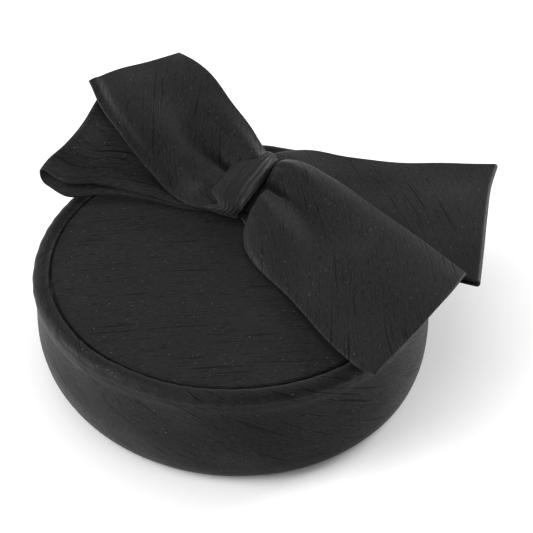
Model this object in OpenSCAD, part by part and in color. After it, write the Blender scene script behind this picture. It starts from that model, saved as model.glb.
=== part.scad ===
// Round silk-covered jewelry gift box with a lift-off lid and a soft flat bow.
// Millimetres, +Z up. Origin: centre of the resting face, on the table.

/* [Lid outside] */
// Largest radius of the covered side
side_r = 89.4; // [86:0.1:92]
// Radius of the covered side at its hem
hem_r = 84.4; // [83:0.1:86]
// Radius of the slight waist under the rolled rim
waist_r = 88.2; // [86:0.1:90]
// Height of the rolled rim's top above the table
rim_top_z = 53.5; // [50:0.5:58]
// Radius of the rolled rim's cross-section
rim_roll_r = 3.7; // [3:0.1:4.2]
// Gap between the lid's hem and the table
hem_gap = 1.0; // [0.5:0.1:2]
// Height of the top panel's crown above its edge
crown = 3.2; // [1:0.1:5]

/* [Boards and fabric] */
// Thickness of the greyboard walls and lid top
board = 2.0; // [1.5:0.1:2.2]
// Thickness of the silk with its backing
silk = 0.6; // [0.4:0.1:0.8]
// Gap between curved faces that pass or touch
clear = 0.3; // [0.2:0.05:0.4]

/* [Base] */
// Inner radius of the base's board wall
base_wall_r = 75.2; // [74:0.1:75.4]
// Thickness of the felt foot pad
foot_t = 1.0; // [0.5:0.1:2]
// Thickness of the velvet collar inside the wall
collar_t = 1.0; // [0.5:0.1:1.5]

/* [Insert] */
// Height of the necklace ring pad's top
ring_pad_top = 18; // [14:0.5:22]
// Height of the necklace channel's floor
channel_top = 9; // [7:0.5:12]
// Inner radius of the necklace ring pad
ring_pad_in = 56; // [52:1:60]
// Radius of the centre pad
centre_pad_r = 34; // [30:1:36]
// Radius of the two ring rolls
roll_r = 4.8; // [4:0.1:5]
// Length of the two ring rolls
roll_len = 42; // [36:1:44]

/* [Bow] */
// Place of the knot on the lid, X
knot_x = 4; // [0:1:8]
// Place of the knot on the lid, Y
knot_y = 44; // [40:1:48]
// Turn of the bow's length about the vertical
bow_turn = -26.6; // [-30:0.2:-22]
// Half-width of the knot band along the bow
knot_half = 10; // [8:0.5:11]
// Half-width of the gathered strips inside the knot
gather_half = 19; // [16:0.5:20]
// Thickness of one gathered strip inside the knot
gather_t = 2.6; // [2:0.1:3]
// Thickness of a flat strip of the bow
strip_t = 2.2; // [1.6:0.1:2.6]

/* [Hidden] */
$fn = 96;

silk_black = [0.17, 0.165, 0.17];
velvet_black = [0.10, 0.10, 0.11];
satin_grey = [0.30, 0.29, 0.30];
grey_board = [0.58, 0.56, 0.53];
wadding_white = [0.90, 0.89, 0.86];
felt_black = [0.13, 0.13, 0.13];

// Heights, from the table up
base_cover_t = 0.8;
floor_z = foot_t + board;
insert_card_t = 1.0;
insert_z = floor_z + insert_card_t;
lid_top_t = 2.0;
ceiling_card_t = 1.2;
ceiling_pad_t = 2.0;
panel_card_t = 1.0;
rim_roll_z = rim_top_z - rim_roll_r;
panel_card_z = rim_top_z - 3.3;
lid_top_z = panel_card_z - 0.2;
ceiling_z = lid_top_z - lid_top_t;
ceiling_pad_z = ceiling_z - ceiling_card_t - ceiling_pad_t;
base_top_z = ceiling_pad_z - clear;
base_board_top_z = base_top_z - base_cover_t;

// Radii, from the base's wall outwards
base_board_out = base_wall_r + 2.2;
base_out = base_board_out + base_cover_t;
lining_in = base_out + 0.6;
lining_t = 0.6;
lid_board_in = lining_in + lining_t;
lid_board_out = lid_board_in + board;
rim_roll_x = side_r + 0.5 - rim_roll_r;
panel_out = rim_roll_x - rim_roll_r - clear;
panel_card_r = panel_out - silk - 0.2;
insert_r = base_wall_r - collar_t - 0.4;

// Crown of the top panel: a shallow ball cap
panel_edge_z = panel_card_z + panel_card_t + 0.9;
crown_R = (panel_out * panel_out + crown * crown) / (2 * crown);
function crown_z(r, drop) = panel_edge_z + crown - drop - crown_R + sqrt(crown_R * crown_R - r * r);

// ---- Base ----

module foot_pad() {
    foot_r = 72;
    color(felt_black) cylinder(h = foot_t, r = foot_r);
}

module floor_board() {
    color(grey_board) translate([0, 0, foot_t]) cylinder(h = board, r = base_wall_r);
}

module tube(r_in, r_out, z_low, z_high) {
    translate([0, 0, z_low]) difference() {
        cylinder(h = z_high - z_low, r = r_out);
        translate([0, 0, -1]) cylinder(h = z_high - z_low + 2, r = r_in);
    }
}

module base_wall_board() {
    color(grey_board) tube(base_wall_r, base_board_out, foot_t, base_board_top_z);
}

// Silk over the wall's outside, turned over its top edge
module base_wall_cover() {
    color(silk_black) union() {
        tube(base_board_out, base_out, foot_t, base_top_z);
        tube(base_wall_r, base_board_out + 0.1, base_board_top_z, base_top_z);
    }
}

module base_lining_collar() {
    color(velvet_black) tube(base_wall_r - collar_t, base_wall_r, floor_z, base_top_z);
}

// ---- Velvet insert ----

module insert_card() {
    color(grey_board) translate([0, 0, floor_z]) cylinder(h = insert_card_t, r = insert_r);
}

// Outline of a pad's section with round top corners
module pad_section(x_in, x_out, z_low, z_high, round_r) {
    translate([x_in, z_low]) square([x_out - x_in, z_high - z_low - round_r]);
    translate([x_in + round_r, z_low]) square([x_out - x_in - 2 * round_r, z_high - z_low]);
    translate([x_in + round_r, z_high - round_r]) circle(round_r);
    translate([x_out - round_r, z_high - round_r]) circle(round_r);
}

module outer_ring_pad() {
    ring_round = 4;
    color(velvet_black) rotate_extrude()
        pad_section(ring_pad_in, insert_r, insert_z, ring_pad_top, ring_round);
}

module channel_pad() {
    channel_round = 1.2;
    color(velvet_black) rotate_extrude()
        pad_section(centre_pad_r + clear, ring_pad_in - clear, insert_z, channel_top, channel_round);
}

well_len = roll_len + 2;
well_wide = 4 * roll_r + 2.4;
well_z = ring_pad_top - 2 * roll_r - 0.4;
earring_hole_r = 1.0;
earring_hole_gap = 8;

// Round pad with a well for the ring rolls and two rows of earring holes
module centre_pad() {
    centre_round = 3;
    color(velvet_black) difference() {
        rotate_extrude() union() {
            translate([0, insert_z]) square([centre_pad_r - centre_round, ring_pad_top - insert_z]);
            translate([0, insert_z]) square([centre_pad_r, ring_pad_top - insert_z - centre_round]);
            translate([centre_pad_r - centre_round, ring_pad_top - centre_round]) circle(centre_round);
        }
        translate([-well_len / 2, -well_wide / 2, well_z])
            cube([well_len, well_wide, ring_pad_top]);
        for (side = [-1, 1]) for (place = [-0.5, 0.5])
            translate([place * earring_hole_gap, side * (well_wide / 2 + 7), insert_z + 2])
                cylinder(h = ring_pad_top, r = earring_hole_r);
    }
}

module ring_roll(side) {
    color(velvet_black) translate([-roll_len / 2, side * (roll_r + 0.2), well_z + roll_r + 0.1])
        rotate([0, 90, 0]) cylinder(h = roll_len, r = roll_r);
}

module ring_roll_front() {
    ring_roll(-1);
}

module ring_roll_back() {
    ring_roll(1);
}

// ---- Lid ----

wall_low_z = hem_gap + silk;

module lid_wall_board() {
    color(grey_board) tube(lid_board_in, lid_board_out, wall_low_z, ceiling_z);
}

module lid_top_board() {
    color(grey_board) translate([0, 0, ceiling_z]) cylinder(h = lid_top_t, r = lid_board_out);
}

module rim_filler_cord() {
    filler_r = rim_roll_r - silk - 0.1;
    color(wadding_white) rotate_extrude()
        translate([rim_roll_x, rim_roll_z]) circle(filler_r);
}

// Outline of the soft side between the hem and the rolled rim, at a given inset
function side_outline(inset) = [
    [hem_r - inset, hem_gap + inset],
    [hem_r + 0.45 * (side_r - hem_r) - inset, hem_gap + 3.5],
    [hem_r + 0.8 * (side_r - hem_r) - inset, hem_gap + 8.5],
    [side_r - 0.2 - inset, hem_gap + 14],
    [side_r - inset, hem_gap + 19],
    [waist_r + 0.55 * (side_r - waist_r) - inset, hem_gap + 26],
    [waist_r - inset, hem_gap + 34],
    [waist_r + 0.1 - inset, rim_roll_z - 7],
    [waist_r + 0.3 - inset, rim_roll_z - rim_roll_r - 0.4]
];

module side_wadding() {
    outline = side_outline(silk);
    top_z = rim_roll_z - rim_roll_r - 0.4;
    color(wadding_white) rotate_extrude()
        polygon(concat([[lid_board_out, wall_low_z]], outline, [[lid_board_out, top_z]]));
}

// Silk skin of the side: hem, side and the rolled rim in one bias-cut band
module side_band() {
    outline = side_outline(0);
    inside = side_outline(silk);
    last = len(outline) - 1;
    color(silk_black) rotate_extrude() union() {
        polygon(concat(outline, [for (i = [last:-1:0]) inside[i]]));
        translate([lid_board_in, hem_gap]) square([hem_r - lid_board_in, silk]);
        difference() {
            translate([rim_roll_x, rim_roll_z]) circle(rim_roll_r);
            translate([rim_roll_x, rim_roll_z]) circle(rim_roll_r - silk);
        }
        translate([waist_r + 0.3 - silk, rim_roll_z - rim_roll_r - 0.5]) square([silk, 1.6]);
    }
}

module top_panel_card() {
    color(grey_board) translate([0, 0, panel_card_z]) cylinder(h = panel_card_t, r = panel_card_r);
}

// Section of the crowned panel at a given drop below its outer face
module crown_section(edge_r, low_z, drop) {
    steps = 24;
    polygon(concat(
        [[0, low_z], [edge_r, low_z]],
        [for (i = [steps:-1:0]) [edge_r * i / steps, crown_z(edge_r * i / steps, drop)]]
    ));
}

module top_panel_foam() {
    color(wadding_white) rotate_extrude()
        crown_section(panel_card_r, panel_card_z + panel_card_t, silk + 0.1);
}

module top_panel_cover() {
    color(silk_black) rotate_extrude() difference() {
        crown_section(panel_out, panel_card_z, 0);
        crown_section(panel_out - silk, panel_card_z - 1, silk);
    }
}

module lid_lining_wall() {
    color(satin_grey) tube(lining_in, lid_board_in, wall_low_z, ceiling_z);
}

ceiling_r = lining_in - clear;

module lid_ceiling_card() {
    color(grey_board) translate([0, 0, ceiling_z - ceiling_card_t])
        cylinder(h = ceiling_card_t, r = ceiling_r);
}

module lid_ceiling_pad() {
    color(satin_grey) translate([0, 0, ceiling_pad_z]) cylinder(h = ceiling_pad_t, r = ceiling_r);
}

// ---- Bow ----

patch_r = 15;
patch_t = 0.9;
knot_reach = norm([knot_x, knot_y]);
patch_tilt = asin(knot_reach / crown_R);
band_low_z = crown_z(knot_reach - patch_r, 0) + patch_t + 1.3;
band_under = 0.8;
loop_z = band_low_z + band_under + clear + gather_t / 2;
tail_z = loop_z + gather_t + clear;
band_in_top = tail_z + gather_t / 2 + clear;

// Sets its children on the crown under the knot, square to the surface
module on_crown() {
    rotate([0, 0, atan2(knot_y, knot_x)]) rotate([0, patch_tilt, 0])
        translate([0, 0, crown_R]) children();
}

// Height that on_crown() needs to start at the crown's ball centre
crown_centre_z = panel_edge_z + crown - crown_R;

module bow_base_patch() {
    color(felt_black) translate([0, 0, crown_centre_z]) on_crown()
        translate([0, 0, clear]) cylinder(h = patch_t, r = patch_r);
}

module bow_tack_stitches() {
    stitch_count = 8;
    stitch_r = 0.3;
    stitch_len = 3;
    color(felt_black) translate([0, 0, crown_centre_z]) on_crown()
        for (turn = [0:360 / stitch_count:359])
            rotate([0, 0, turn]) translate([patch_r - 2.2, -stitch_len / 2, clear + patch_t + stitch_r])
                rotate([-90, 0, 0]) cylinder(h = stitch_len, r = stitch_r, $fn = 16);
}

// Point of the bow from its distance along and across the bow, measured at the knot
function at_knot(along, across, z) = [
    knot_x + along * cos(bow_turn) - across * sin(bow_turn),
    knot_y + along * sin(bow_turn) + across * cos(bow_turn),
    z
];
function mix(a, b, t) = a + (b - a) * t;
function bump(s) = 6.75 * s * (1 - s) * (1 - s);

// Point of a wing's middle face, s from the knot to the end and t across
function wing_point(wing, s, t) =
    mix(mix(wing[0], wing[1], t), mix(wing[2], wing[3], t), s)
    + wing[4] * (s * sin(180 * t))
    + (wing[5] * (1 - t) + wing[6] * t) * bump(s);

wing_steps = 10;
wing_cols = 8;

// Flattened tube of cloth from the knot to the wing's end
module wing_solid(wing) {
    up = wing[7];
    rim_t = 0.6;
    row = wing_cols + 1;
    side_points = (wing_steps + 1) * row;
    top = [for (i = [0:wing_steps]) for (j = [0:wing_cols])
        wing_point(wing, i / wing_steps, j / wing_cols)
        + up * (strip_t / 2 * (rim_t + (1 - rim_t) * sin(180 * j / wing_cols)))];
    bottom = [for (i = [0:wing_steps]) for (j = [0:wing_cols])
        wing_point(wing, i / wing_steps, j / wing_cols)
        - up * (strip_t / 2 * (rim_t + (1 - rim_t) * sin(180 * j / wing_cols)))];
    faces_top = [for (i = [0:wing_steps - 1]) for (j = [0:wing_cols - 1])
        for (half = [0, 1]) half == 0
            ? [i * row + j, (i + 1) * row + j + 1, (i + 1) * row + j]
            : [i * row + j, i * row + j + 1, (i + 1) * row + j + 1]];
    faces_bottom = [for (f = faces_top) [f[0] + side_points, f[2] + side_points, f[1] + side_points]];
    right = [for (i = [0:wing_steps]) i * row];
    left = [for (i = [wing_steps:-1:0]) i * row + wing_cols];
    root = [for (j = [wing_cols:-1:0]) j];
    end = [for (j = [0:wing_cols]) wing_steps * row + j];
    polyhedron(
        points = concat(top, bottom),
        faces = concat(
            faces_top, faces_bottom, edge_faces(right, side_points), edge_faces(left, side_points),
            edge_faces(root, side_points), edge_faces(end, side_points)
        )
    );
}

// Triangles that close the tube along one edge
function edge_faces(edge, below) = [for (k = [0:len(edge) - 2]) for (half = [0, 1]) half == 0
    ? [edge[k], edge[k + 1], edge[k + 1] + below]
    : [edge[k], edge[k + 1] + below, edge[k] + below]];

root_along = knot_half + 1.5;
root_half = gather_half - 0.5;
level = [0, 0, 1];

// Order, looking out from the knot: root right, root left, end right, end left, arch,
// flare of the right edge, flare of the left edge, facing
right_loop = [
    at_knot(root_along, -root_half, loop_z), at_knot(root_along, root_half, loop_z),
    [111, -23, 56.9], [126, 66, 58.5], [0, 0, 1.2], [-2, -3, -0.6], [2, 12, -0.5], level
];
left_loop = [
    at_knot(-root_along, root_half, loop_z), at_knot(-root_along, -root_half, loop_z),
    [-45, 104, 83], [-91, 47, 62], [-4, -8, 10], [0, 4, 0], [0, -4, -1.5], [0, -0.5, 0.866]
];
right_tail = [
    at_knot(root_along, -root_half, tail_z), at_knot(root_along, root_half, tail_z),
    [56, -76, 57.5], [103, -18, 62.5], [0, 0, 1.6], [-8, -5, -0.5], [3, 4, 1.0], level
];
left_tail = [
    at_knot(-root_along, root_half, tail_z), at_knot(-root_along, -root_half, tail_z),
    [-28, 121, 84], [-70, 78, 95], [0, 0, 3.5], [2, 2, 4], [1, -2, 3], level
];

// Gathered middle of a strip, where it passes through the knot
module gathered_middle(z) {
    middle_half = root_along + 1;
    translate([knot_x, knot_y, z - gather_t / 2]) rotate([0, 0, bow_turn])
        translate([-middle_half, -gather_half, 0]) cube([2 * middle_half, 2 * gather_half, gather_t]);
}

module bow_loop_strip() {
    color(silk_black) union() {
        wing_solid(right_loop);
        wing_solid(left_loop);
        gathered_middle(loop_z);
    }
}

module bow_tail_strip() {
    color(silk_black) union() {
        wing_solid(right_tail);
        wing_solid(left_tail);
        gathered_middle(tail_z);
    }
}

// Band round both gathered strips: flat below, crowned above
module knot_band() {
    inner_half = gather_half + clear;
    outer_half = inner_half + 4.2;
    inner_low = band_low_z + band_under;
    band_top = band_in_top + 3.4;
    color(silk_black) translate([knot_x, knot_y, 0]) rotate([0, 0, bow_turn]) rotate([90, 0, 90])
        translate([0, 0, -knot_half]) linear_extrude(2 * knot_half) difference() {
            hull() {
                translate([-outer_half, band_low_z]) square([2 * outer_half, 1]);
                translate([-outer_half + 3, band_top - 6]) circle(3);
                translate([outer_half - 3, band_top - 6]) circle(3);
                translate([-5, band_top - 4]) circle(4);
                translate([5, band_top - 4]) circle(4);
            }
            translate([-inner_half, inner_low])
                square([2 * inner_half, band_in_top - inner_low]);
        }
}

foot_pad();
floor_board();
base_wall_board();
base_wall_cover();
base_lining_collar();
insert_card();
outer_ring_pad();
channel_pad();
centre_pad();
ring_roll_front();
ring_roll_back();
lid_wall_board();
lid_top_board();
rim_filler_cord();
side_wadding();
side_band();
top_panel_card();
top_panel_foam();
top_panel_cover();
lid_lining_wall();
lid_ceiling_card();
lid_ceiling_pad();
bow_base_patch();
bow_tack_stitches();
bow_loop_strip();
bow_tail_strip();
knot_band();
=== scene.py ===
import math

import bpy
import numpy as np
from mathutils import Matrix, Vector


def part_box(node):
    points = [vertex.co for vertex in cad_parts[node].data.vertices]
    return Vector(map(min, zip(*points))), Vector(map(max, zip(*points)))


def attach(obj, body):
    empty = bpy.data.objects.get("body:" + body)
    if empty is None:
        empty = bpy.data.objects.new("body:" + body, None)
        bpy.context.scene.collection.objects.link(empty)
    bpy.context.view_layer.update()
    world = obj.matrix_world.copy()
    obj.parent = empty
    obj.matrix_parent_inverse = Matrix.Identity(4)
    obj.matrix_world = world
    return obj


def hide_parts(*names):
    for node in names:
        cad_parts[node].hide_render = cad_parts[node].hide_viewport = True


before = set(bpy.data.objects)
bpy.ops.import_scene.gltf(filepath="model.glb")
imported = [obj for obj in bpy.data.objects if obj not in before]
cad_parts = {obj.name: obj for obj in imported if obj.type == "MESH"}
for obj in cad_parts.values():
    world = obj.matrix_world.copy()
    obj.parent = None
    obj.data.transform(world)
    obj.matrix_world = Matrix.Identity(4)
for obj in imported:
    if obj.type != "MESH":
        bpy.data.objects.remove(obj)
scene = bpy.context.scene
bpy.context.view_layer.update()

MM = 0.001
TURN = 2 * math.pi
UP = np.array([0, 0, 1.0])


# ---------------------------------------------------------------- shape helpers

def smooth(low, high, x):
    """0 below low, 1 above high, and a soft step between them."""
    t = np.clip((np.asarray(x, float) - low) / (high - low), 0, 1)
    return t * t * (3 - 2 * t)


def bell(x, centre, width):
    return np.exp(-((np.asarray(x, float) - centre) / width) ** 2)


def curve_through(points, s):
    """Smooth curve through a few points, at the shares s of its run; returns one row per share."""
    points = np.array(points, float)
    spans = np.linalg.norm(np.diff(points, axis=0), axis=1)
    knots = np.concatenate([[0], np.cumsum(spans)]) / spans.sum()
    slopes = np.gradient(points, knots, axis=0)
    s = np.atleast_1d(s)
    i = np.clip(np.searchsorted(knots, s, side="right") - 1, 0, len(points) - 2)
    span = (knots[i + 1] - knots[i])[:, None]
    t = ((s - knots[i]) / (knots[i + 1] - knots[i]))[:, None]
    start, end = points[i], points[i + 1]
    leave, arrive = slopes[i] * span, slopes[i + 1] * span
    return (
        start * (2 * t**3 - 3 * t**2 + 1) + leave * (t**3 - 2 * t**2 + t)
        + end * (3 * t**2 - 2 * t**3) + arrive * (t**3 - t**2)
    )


def rounded_shares(count, length, rim):
    """Shares from 0 to 1 with extra ones near both ends, so that a rim of that radius comes out round."""
    near = rim * (1 - np.cos(np.linspace(0, math.pi / 2, 5))) / length
    inner = np.linspace(near[-1], 1 - near[-1], count)
    return np.concatenate([near[:-1], inner, (1 - near[:-1])[::-1]])


def rim_height(distance, rim):
    """Height of a round rim at a distance from the edge, as a share of its radius."""
    d = np.clip(distance / rim, 0, 1)
    return np.sqrt(np.clip(1 - (1 - d) ** 2, 0, 1))


def grid_normals(points):
    along, across = np.gradient(points, axis=0), np.gradient(points, axis=1)
    n = np.cross(along, across)
    return n / np.maximum(np.linalg.norm(n, axis=2, keepdims=True), 1e-12)


def ripple(x, y, seed, waves=7, low=20.0, high=90.0):
    """Sum of seeded sine waves over x and y in metres; low and high bound the waves per metre."""
    rng = np.random.default_rng(seed)
    total = np.zeros(np.broadcast(x, y).shape)
    for _ in range(waves):
        angle, rate, phase = rng.uniform(0, TURN), rng.uniform(low, high), rng.uniform(0, TURN)
        total = total + np.sin(TURN * rate * (x * math.cos(angle) + y * math.sin(angle)) + phase)
    return total / math.sqrt(waves)


def new_piece(name, points, faces, uvs, material):
    """A smooth-shaded mesh; uvs holds one cloth coordinate in metres for each vertex."""
    mesh = bpy.data.meshes.new(name)
    mesh.from_pydata([tuple(p) for p in points], [], faces)
    layer = mesh.uv_layers.new(name="cloth")
    loop_vertex = np.zeros(len(mesh.loops), np.int32)
    mesh.loops.foreach_get("vertex_index", loop_vertex)
    layer.data.foreach_set("uv", np.asarray(uvs, np.float32)[loop_vertex].ravel())
    mesh.polygons.foreach_set("use_smooth", [True] * len(mesh.polygons))
    mesh.materials.append(material)
    mesh.update()
    piece = bpy.data.objects.new(name, mesh)
    bpy.context.scene.collection.objects.link(piece)
    return piece


def quads(rows, cols, wrap_rows=False, wrap_cols=False):
    """Faces of a grid of points; a wrapped way joins its last row or column to its first."""
    faces = []
    for i in range(rows if wrap_rows else rows - 1):
        for j in range(cols if wrap_cols else cols - 1):
            a = i * cols + j
            b = i * cols + (j + 1) % cols
            c = ((i + 1) % rows) * cols + (j + 1) % cols
            d = ((i + 1) % rows) * cols + j
            faces.append((a, b, c, d))
    return faces


def cloth_shell(name, middle, half, uv, material):
    """Closed sheet of cloth round a middle face. half is half its thickness, and 0 along the outer edge."""
    rows, cols = half.shape
    normals = grid_normals(middle)
    face = middle + normals * half[..., None]
    back = middle - normals * half[..., None]
    points = face.reshape(-1, 3).tolist()
    uvs = uv.reshape(-1, 2).tolist()
    index = np.arange(rows * cols).reshape(rows, cols)
    under = index.copy()
    for i in range(1, rows - 1):
        for j in range(1, cols - 1):
            under[i, j] = len(points)
            points.append(back[i, j].tolist())
            uvs.append(uv[i, j].tolist())
    faces = []
    for i in range(rows - 1):
        for j in range(cols - 1):
            outside = (index[i, j], index[i + 1, j], index[i + 1, j + 1], index[i, j + 1])
            inside = (under[i, j + 1], under[i + 1, j + 1], under[i + 1, j], under[i, j])
            faces.append(tuple(int(v) for v in outside))
            faces.append(tuple(int(v) for v in inside))
    return new_piece(name, points, faces, uvs, material)


def lathe(name, outline, uv_along, sides, material, shift=None, flat=False):
    """Turned piece from an open outline of (radius, height) points in metres.
    shift(angle, radius, height) moves its points. The cloth's length round it is measured at its widest,
    and flat gives it the coordinates of a flat disc of cloth instead of a strip."""
    outline = np.asarray(outline, float)
    widest = outline[:, 0].max()
    angles = np.linspace(0, TURN, sides + 1)
    radius = np.tile(outline[:, 0], (sides + 1, 1))
    height = np.tile(outline[:, 1], (sides + 1, 1))
    angle = np.tile(angles[:, None], (1, len(outline)))
    if shift:
        radius, height = shift(angle, radius, height)
    points = np.stack([radius * np.cos(angle), radius * np.sin(angle), height], -1)
    uv = np.stack([angle * widest, np.tile(uv_along, (sides + 1, 1))], -1)
    if flat:
        uv = np.stack([np.cos(angle), np.sin(angle)], -1) * np.asarray(uv_along)[None, :, None]
    cols = len(outline)
    return new_piece(name, points.reshape(-1, 3), quads(sides + 1, cols), uv.reshape(-1, 2), material)


# ---------------------------------------------------------------- finishes

def group_node(tree, group, **values):
    node = tree.nodes.new("ShaderNodeGroup")
    node.node_tree = group
    for name, value in values.items():
        node.inputs[name].default_value = value
    return node


def new_group(name, inputs, outputs):
    """Node group with named sockets: (name, kind, default) going in and (name, kind) coming out."""
    group = bpy.data.node_groups.new(name, "ShaderNodeTree")
    for label, kind, default in inputs:
        socket = group.interface.new_socket(label, in_out="INPUT", socket_type=kind)
        if default is not None:
            socket.default_value = default
    for label, kind in outputs:
        group.interface.new_socket(label, in_out="OUTPUT", socket_type=kind)
    return group, group.nodes.new("NodeGroupInput"), group.nodes.new("NodeGroupOutput")


def math_node(tree, operation, first, second):
    """Maths node on two values, each a number or another node's output."""
    node = tree.nodes.new("ShaderNodeMath")
    node.operation = operation
    for slot, value in zip(node.inputs, (first, second)):
        if isinstance(value, bpy.types.NodeSocket):
            tree.links.new(value, slot)
        else:
            slot.default_value = value
    return node.outputs[0]


def remap(tree, value, low, high, to_low=0.0, to_high=1.0):
    node = tree.nodes.new("ShaderNodeMapRange")
    node.interpolation_type = "SMOOTHSTEP"
    tree.links.new(value, node.inputs["Value"])
    for label, number in (("From Min", low), ("From Max", high), ("To Min", to_low), ("To Max", to_high)):
        node.inputs[label].default_value = number
    return node.outputs["Result"]


def stretched_noise(tree, vector, rates, detail=2.0, roughness=0.5, twist=0.0):
    """Noise over the vector multiplied by rates (waves per metre each way)."""
    scale = tree.nodes.new("ShaderNodeVectorMath")
    scale.operation = "MULTIPLY"
    tree.links.new(vector, scale.inputs[0])
    scale.inputs[1].default_value = rates
    noise = tree.nodes.new("ShaderNodeTexNoise")
    noise.inputs["Scale"].default_value = 1.0
    noise.inputs["Detail"].default_value = detail
    noise.inputs["Roughness"].default_value = roughness
    noise.inputs["Distortion"].default_value = twist
    tree.links.new(scale.outputs[0], noise.inputs["Vector"])
    return noise.outputs["Fac"]


def slub_weave_group():
    """Weave of slubbed silk: uneven thick threads along one way, fine threads across, pale flecks."""
    group, entry, leave = new_group(
        "slub_weave",
        [("Cloth", "NodeSocketVector", None), ("Turn", "NodeSocketFloat", 0.0),
         ("Slubs", "NodeSocketFloat", 1.0), ("Flecks", "NodeSocketFloat", 1.0)],
        [("Shade", "NodeSocketFloat"), ("Height", "NodeSocketFloat"), ("Fleck", "NodeSocketFloat")],
    )
    turn = group.nodes.new("ShaderNodeVectorRotate")
    turn.rotation_type = "Z_AXIS"
    group.links.new(entry.outputs["Cloth"], turn.inputs["Vector"])
    group.links.new(entry.outputs["Turn"], turn.inputs["Angle"])
    cloth = turn.outputs["Vector"]
    fine = stretched_noise(group, cloth, (330.0, 2300.0, 1.0), 2.0, 0.6)
    warp = stretched_noise(group, cloth, (2600.0, 700.0, 1.0), 1.0, 0.5)
    thread = stretched_noise(group, cloth, (55.0, 1150.0, 1.0), 2.0, 0.55, 0.2)
    bold = stretched_noise(group, cloth, (24.0, 620.0, 1.0), 2.0, 0.5, 0.35)
    smudge = stretched_noise(group, cloth, (170.0, 560.0, 1.0), 2.0, 0.5, 0.4)
    cloud = stretched_noise(group, cloth, (30.0, 50.0, 1.0), 2.0, 0.5)
    speck = stretched_noise(group, cloth, (900.0, 1500.0, 1.0), 0.0, 0.5)
    thin_slub = math_node(group, "MULTIPLY", remap(group, thread, 0.55, 0.67), 0.55)
    thick_slub = remap(group, bold, 0.615, 0.69)
    blot = math_node(group, "MULTIPLY", remap(group, smudge, 0.62, 0.70), 0.65)
    slub = math_node(group, "MAXIMUM", math_node(group, "MAXIMUM", thin_slub, thick_slub), blot)
    slub = math_node(group, "MULTIPLY", slub, entry.outputs["Slubs"])
    grain = math_node(group, "ADD", math_node(group, "MULTIPLY", fine, 0.6),
                      math_node(group, "MULTIPLY", warp, 0.4))
    grain = remap(group, grain, 0.35, 0.65, 0.60, 1.40)
    haze = remap(group, cloud, 0.3, 0.7, 0.92, 1.08)
    dark = math_node(group, "SUBTRACT", 1.0, math_node(group, "MULTIPLY", slub, 0.72))
    shade = math_node(group, "MULTIPLY", math_node(group, "MULTIPLY", grain, haze), dark)
    group.links.new(shade, leave.inputs["Shade"])
    high = math_node(group, "ADD", math_node(group, "MULTIPLY", fine, 0.35),
                     math_node(group, "MULTIPLY", warp, 0.25))
    high = math_node(group, "ADD", high, math_node(group, "MULTIPLY", slub, -0.6))
    group.links.new(high, leave.inputs["Height"])
    fleck = math_node(group, "MULTIPLY", remap(group, speck, 0.80, 0.86), entry.outputs["Flecks"])
    group.links.new(fleck, leave.inputs["Fleck"])
    return group


def fibre_group():
    """Short fibres and mottling in three directions, for felt, velvet, wadding and board."""
    group, entry, leave = new_group(
        "fibres",
        [("Place", "NodeSocketVector", None), ("Fine", "NodeSocketFloat", 1.0)],
        [("Shade", "NodeSocketFloat"), ("Height", "NodeSocketFloat")],
    )
    spread = group.nodes.new("ShaderNodeVectorMath")
    spread.operation = "SCALE"
    group.links.new(entry.outputs["Place"], spread.inputs[0])
    group.links.new(entry.outputs["Fine"], spread.inputs["Scale"])
    place = spread.outputs[0]
    hair = stretched_noise(group, place, (1500.0, 420.0, 900.0), 3.0, 0.65, 0.6)
    other = stretched_noise(group, place, (380.0, 1300.0, 700.0), 3.0, 0.65, 0.6)
    patch = stretched_noise(group, place, (45.0, 45.0, 45.0), 3.0, 0.55, 0.3)
    hairs = math_node(group, "MAXIMUM", hair, other)
    shade = math_node(group, "MULTIPLY", remap(group, hairs, 0.42, 0.75, 0.7, 1.3),
                      remap(group, patch, 0.3, 0.7, 0.8, 1.2))
    group.links.new(shade, leave.inputs["Shade"])
    group.links.new(hairs, leave.inputs["Height"])
    return group


SLUB_WEAVE = slub_weave_group()
FIBRES = fibre_group()


def finish_of(made, color, shade, height, bump, rise, sockets, fleck=None, fleck_color=None, rough=None):
    """Finishes made, a material and its node tree: color times shade, with its bump from height.
    sockets are set as constants, and rough is the roughness of the dark and of the light places."""
    material, tree = made
    surface = tree.nodes["Principled BSDF"]
    for label, value in sockets.items():
        surface.inputs[label].default_value = value
    tint = tree.nodes.new("ShaderNodeVectorMath")
    tint.operation = "SCALE"
    tint.inputs[0].default_value = color
    tree.links.new(shade, tint.inputs["Scale"])
    last = tint.outputs[0]
    if fleck is not None:
        blend = tree.nodes.new("ShaderNodeMix")
        blend.data_type = "RGBA"
        tree.links.new(fleck, blend.inputs["Factor"])
        tree.links.new(last, blend.inputs["A"])
        blend.inputs["B"].default_value = (*fleck_color, 1.0)
        last = blend.outputs["Result"]
    tree.links.new(last, surface.inputs["Base Color"])
    if rough:
        tree.links.new(remap(tree, shade, 0.4, 1.4, *rough), surface.inputs["Roughness"])
    relief = tree.nodes.new("ShaderNodeBump")
    relief.inputs["Strength"].default_value = bump
    relief.inputs["Distance"].default_value = rise
    tree.links.new(height, relief.inputs["Height"])
    tree.links.new(relief.outputs["Normal"], surface.inputs["Normal"])
    return material


def blank_material(name):
    material = bpy.data.materials.new(name)
    material.use_nodes = True
    return material, material.node_tree


SILK_BLACK = (0.0122, 0.0117, 0.0121)
FLECK_GREY = (0.10, 0.095, 0.10)


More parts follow.
